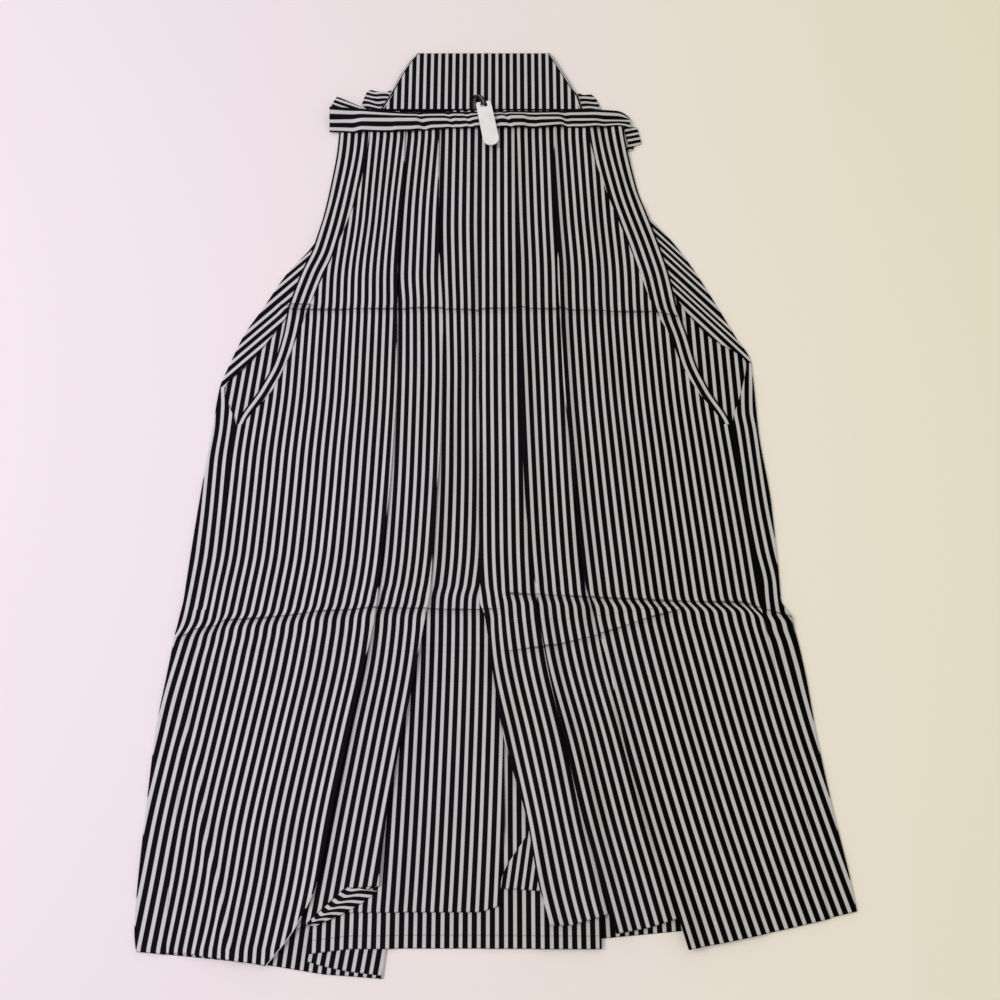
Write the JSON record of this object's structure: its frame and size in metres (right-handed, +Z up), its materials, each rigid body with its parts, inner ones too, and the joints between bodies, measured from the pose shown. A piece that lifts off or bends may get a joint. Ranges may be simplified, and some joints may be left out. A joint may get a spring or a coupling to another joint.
{
  "type": "hakama trousers",
  "caption": "Divided pleated hakama trousers laid flat, front up, with a stiff back board, a belt, folded ties and a small spatula at the waist.",
  "frame": {"origin": "middle of the bounding box, on the surface that the garment lies on", "axes": "+Z up from the surface, +Y from the hem to the waist, +X to the wearer's left, as the front faces up"},
  "size_m": [0.7102, 1.074, 0.021],
  "materials": {
    "striped_cloth": "woven, fine black and pale grey stripes, slight sheen",
    "dark_tape": "narrow woven tape, matt",
    "white_plastic": "smooth and matt"
  },
  "bodies": {
    "garment": {"front_leg_right": "striped_cloth", "front_leg_left": "striped_cloth", "back_leg_right": "striped_cloth", "back_leg_left": "striped_cloth", "turned_corner": "striped_cloth", "back_board": "striped_cloth", "front_belt": "striped_cloth", "front_tie_right": "striped_cloth", "front_tie_left": "striped_cloth", "back_tie_right": "striped_cloth", "back_tie_left": "striped_cloth", "spatula_loop": "dark_tape"},
    "spatula": {"spatula": "white_plastic"}
  },
  "joints": [
    {"name": "spatula_hinge", "type": "hinge", "parent": "garment", "child": "spatula", "pos_m": [-0.01672, 0.4515, 0.0183], "axis": [-0.9833, -0.1822, 0], "range_deg": [0, 100]}
  ]
}
